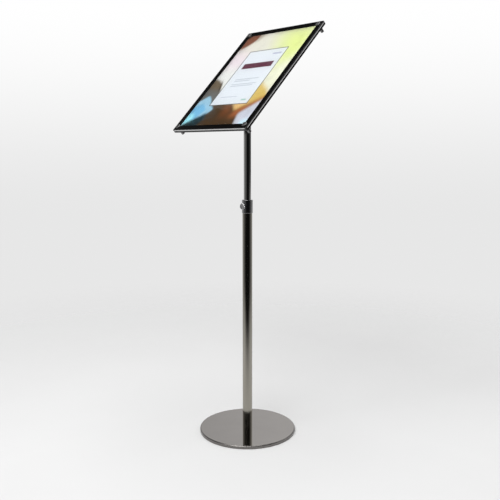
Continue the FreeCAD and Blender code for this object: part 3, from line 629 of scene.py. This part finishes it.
def knurled_knob():
    """The clamp screw's head: a knurled rim, a dished face and a short neck, about the screw's axis."""
    low, high = (Vector(corner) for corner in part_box("thumb_knob"))
    axis_x = (low.x + high.x) / 2
    axis_z = (low.z + high.z) / 2
    rim = (high.x - low.x) / 2
    neck = rim / 2
    head_back = high.y - KNOB_NECK_LENGTH
    # Each ring: its radius, its place along the axis, and how deep the knurl is cut there.
    rings = [
        (neck, high.y, 0.0),
        (neck, head_back, 0.0),
        (rim - KNOB_EDGE, head_back, 0.0),
        (rim, head_back - KNOB_EDGE, KNURL_DEPTH),
        (rim, low.y + KNOB_EDGE, KNURL_DEPTH),
        (rim - KNOB_EDGE, low.y, 0.0),
        (KNOB_DISH_OUTER * rim, low.y, 0.0),
        (KNOB_DISH_INNER * rim, low.y + KNOB_DISH_DEPTH, 0.0),
    ]
    builder = bmesh.new()
    count = 2 * KNURL_RIDGES
    loops = []
    for radius, along, cut in rings:
        loop = []
        for index in range(count):
            angle = 2 * pi * index / count
            reach = radius - cut * (index % 2)
            point = (axis_x + reach * cos(angle), along, axis_z + reach * sin(angle))
            loop.append(builder.verts.new(point))
        loops.append(loop)
    for behind, ahead, (_, _, cut) in zip(loops, loops[1:], rings[1:]):
        for index in range(count):
            following = (index + 1) % count
            face = builder.faces.new((behind[index], behind[following], ahead[following], ahead[index]))
            face.material_index = KNURLED_FINISH if cut else PLAIN_FINISH
    builder.faces.new(loops[-1])
    builder.faces.new(list(reversed(loops[0])))
    bmesh.ops.recalc_face_normals(builder, faces=builder.faces)
    # The knurled rim takes a much brighter copy of the face's steel: a painted highlight on the rim's
    # side.
    face_steel = turned_steel("knob_face_steel", dark=0.42, light=0.50, roughness=0.20)
    knurl_painted_bright = turned_steel("knurl_painted_bright", dark=0.78, light=0.90, roughness=0.22)
    knob = mesh_object("knurled_knob", builder, [face_steel, knurl_painted_bright])
    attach(knob, "thumb_screw")
    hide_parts("thumb_knob")


def paint_nodes():
    """Give every kept CAD node its material."""
    steel = turned_steel("turned_steel", dark=0.32, light=0.42, roughness=0.08)
    dark_nickel = turned_steel("dark_nickel", dark=0.16, light=0.24, roughness=0.10)
    satin_steel = turned_steel("satin_steel", dark=0.22, light=0.32, roughness=0.30)
    zinc = zinc_plate()
    white_nylon = moulded("white_nylon", (0.62, 0.61, 0.57, 1), (0.72, 0.71, 0.68, 1), roughness=0.40)
    black_nylon = moulded("black_nylon", grey(0.012), grey(0.022), roughness=0.38)
    finishes = {
        "base_pad": rubber(), "base_weight": cast_plate(), "base_cover": spun_steel(),
        "lower_tube": drawn_steel("lower_steel", dark=0.30, light=0.36, tint=TUBE_TINT),
        "upper_tube": drawn_steel("upper_steel", dark=0.44, light=0.52, tint=NEUTRAL_TINT),
        "lock_collar": steel, "top_plug": steel,
        "corner_caps": satin_steel, "corner_nuts": dark_nickel,
        "post_bolt": zinc, "foot_plug": zinc, "thumb_stud": zinc, "stop_rings": zinc,
        "plug_pin": zinc, "pivot_bolt": zinc, "corner_studs": zinc, "bracket_screws": zinc,
        "bracket_nuts": zinc, "knob_washer": zinc,
        "guide_bush": white_nylon, "clamp_pad": white_nylon, "glide_bush": white_nylon,
        "spacer_washers": white_nylon,
        "friction_washers": black_nylon, "tilt_knob": black_nylon,
        "head_yoke": powder_coat(), "knob_insert": brass(), "rear_panel": black_acrylic(),
        "border_film": black_print(), "poster": printed_sheet(),
    }
    for name, finish in finishes.items():
        for holder in frame["nodes"][name].material_slots:
            holder.link = "OBJECT"
            holder.material = finish


# ---------------------------------------------------------------- studio

# The studio that reflections see, in directions from the stand. Facing is 1 towards the camera
# and -1 away from it, side is 1 to the camera's right, and height is 1 straight up and 0 at the
# level. A pair of numbers is where a soft edge begins and ends.
STUDIO_DARK = 0.010

WALL_FACING = (0.85, -0.70)
WALL_LIGHT = 0.58
WALL_TOP = (0.66, 0.46)
UPPER_WALL = (0.10, 0.32)
UPPER_WALL_LIGHT = 0.82

SLANT_SIDE = (-0.35, 0.35)
SLANT_HEIGHT = (0.15, 0.30)
SLANT_LIGHT = 0.24

FLAG_SIDE = (0.1, 0.6)
FLAG_BOTTOM = (-0.09, -0.03)
FLAG_TOP = (0.26, 0.16)
FLAG_SHADE = 0.85

CARD_SIDE = (-0.38, -0.56)
CARD_BOTTOM = (-0.09, -0.075)
CARD_TOP = (0.22, 0.12)
CARD_LIGHT = 0.17

GALLERY_FACING = (-0.1, 0.4)
GALLERY_BOTTOM = (0.43, 0.50)
GALLERY_TOP = (0.95, 0.75)
GALLERY_LIGHT = 0.30

# The backdrop that the camera sees: the heights between which it brightens, and from what to what.
BACKDROP_HEIGHT = (-0.10, 0.20)
BACKDROP_LIGHT = (0.80, 1.0)


def build_floor():
    """A round floor under the stand."""
    builder = bmesh.new()
    bmesh.ops.create_circle(builder, cap_ends=True, segments=96, radius=FLOOR_RADIUS)
    floor = mesh_object("studio_floor", builder, [floor_paint()])


def wall_light(sky, facing, side, height):
    """The walls: brightest behind the stand, with a dark flag on the right and a grey card on the left.

    Higher up they are a little brighter to the right, which the disc shows.
    """
    flag = sky.product(sky.step(side, *FLAG_SIDE, 0.0, FLAG_SHADE),
                       sky.step(height, *FLAG_BOTTOM), sky.step(height, *FLAG_TOP))
    card = sky.product(sky.step(side, *CARD_SIDE, 0.0, CARD_LIGHT),
                       sky.step(height, *CARD_BOTTOM), sky.step(height, *CARD_TOP))
    back = sky.product(sky.step(facing, *WALL_FACING, 0.0, WALL_LIGHT), sky.maths("SUBTRACT", 1.0, flag))
    walls = sky.maths("MAXIMUM", back, card)
    slant = sky.product(sky.step(side, *SLANT_SIDE, -SLANT_LIGHT, SLANT_LIGHT),
                        sky.step(height, *SLANT_HEIGHT))
    walls = sky.maths("MULTIPLY_ADD", walls, slant, walls)
    return sky.product(walls, sky.step(height, *WALL_TOP),
                       sky.step(height, *UPPER_WALL, 1.0, UPPER_WALL_LIGHT))


def gallery_light(sky, facing, height):
    """A dim gallery above the camera, which keeps the disc from looking black from behind."""
    return sky.product(sky.step(facing, *GALLERY_FACING, 0.0, GALLERY_LIGHT),
                       sky.step(height, *GALLERY_BOTTOM), sky.step(height, *GALLERY_TOP))


def build_world():
    """A pale backdrop for the eye, and a simple studio for the reflections."""
    sky = Shader("studio", family="worlds")
    bpy.context.scene.world = sky.owner
    way = sky.add("ShaderNodeTexCoord").outputs["Generated"]
    height = sky.add("ShaderNodeSeparateXYZ", {0: way}).outputs["Z"]
    bearing = sky.vector("NORMALIZE", sky.vector("MULTIPLY", way, (1.0, 1.0, 0.0)))
    facing = sky.measure("DOT_PRODUCT", bearing, TO_CAMERA)
    side = sky.measure("DOT_PRODUCT", bearing, CAMERA_RIGHT)
    lit = sky.maths("ADD", wall_light(sky, facing, side, height), gallery_light(sky, facing, height))
    studio = sky.maths("ADD", lit, STUDIO_DARK)
    backdrop = sky.step(height, *BACKDROP_HEIGHT, *BACKDROP_LIGHT)
    is_eye = sky.add("ShaderNodeLightPath").outputs["Is Camera Ray"]
    not_eye = sky.maths("SUBTRACT", 1.0, is_eye)
    strength = sky.maths("ADD", sky.product(backdrop, is_eye), sky.product(studio, not_eye))
    light = sky.add("ShaderNodeBackground", {"Color": grey(1.0), "Strength": strength}).outputs[0]
    sky.add("ShaderNodeOutputWorld", {"Surface": light})


def area_light(name, place, aim, size, power):
    """A round soft lamp that the camera does not see."""
    data = bpy.data.lights.new(name, "AREA")
    data.shape = "DISK"
    data.size = size
    data.energy = power
    light = bpy.data.objects.new(name, data)
    light.location = place
    light.rotation_euler = (aim - place).to_track_quat("-Z", "Y").to_euler()
    light.visible_camera = False
    bpy.context.scene.collection.objects.link(light)


def build_lights():
    """Four soft lamps, all aimed at the stand's upper part."""
    middle = Vector((0.0, 0.0, 0.9))
    by_camera = TO_CAMERA * 2.4 - CAMERA_RIGHT * 3.4 + Vector((0, 0, 5.6))
    area_light("key", Vector((1.8, -3.95, 4.6)), middle, size=3.2, power=185.0)
    area_light("fill", by_camera, middle, size=3.0, power=110.0)
    area_light("top", Vector((0.0, 0.0, 6.5)), middle, size=5.0, power=215.0)
    area_light("rim", Vector((1.85, 3.04, 3.40)), middle, size=2.4, power=22.0)


def build_camera():
    """The camera, looking the way it is turned above."""
    data = bpy.data.cameras.new("camera")
    data.lens = LENS
    data.sensor_width = SENSOR_WIDTH
    camera = bpy.data.objects.new("camera", data)
    stand = TO_CAMERA * CAMERA_DISTANCE + CAMERA_RIGHT * CAMERA_SIDESTEP
    camera.location = stand + Vector((0, 0, CAMERA_HEIGHT))
    camera.rotation_euler = (pi / 2 + CAMERA_PITCH, 0.0, CAMERA_BEARING)
    bpy.context.scene.collection.objects.link(camera)
    bpy.context.scene.camera = camera


bpy.context.scene.view_settings.view_transform = "Standard"
clear_cover()
knurled_knob()
paint_nodes()
build_floor()
build_world()
build_lights()
build_camera()
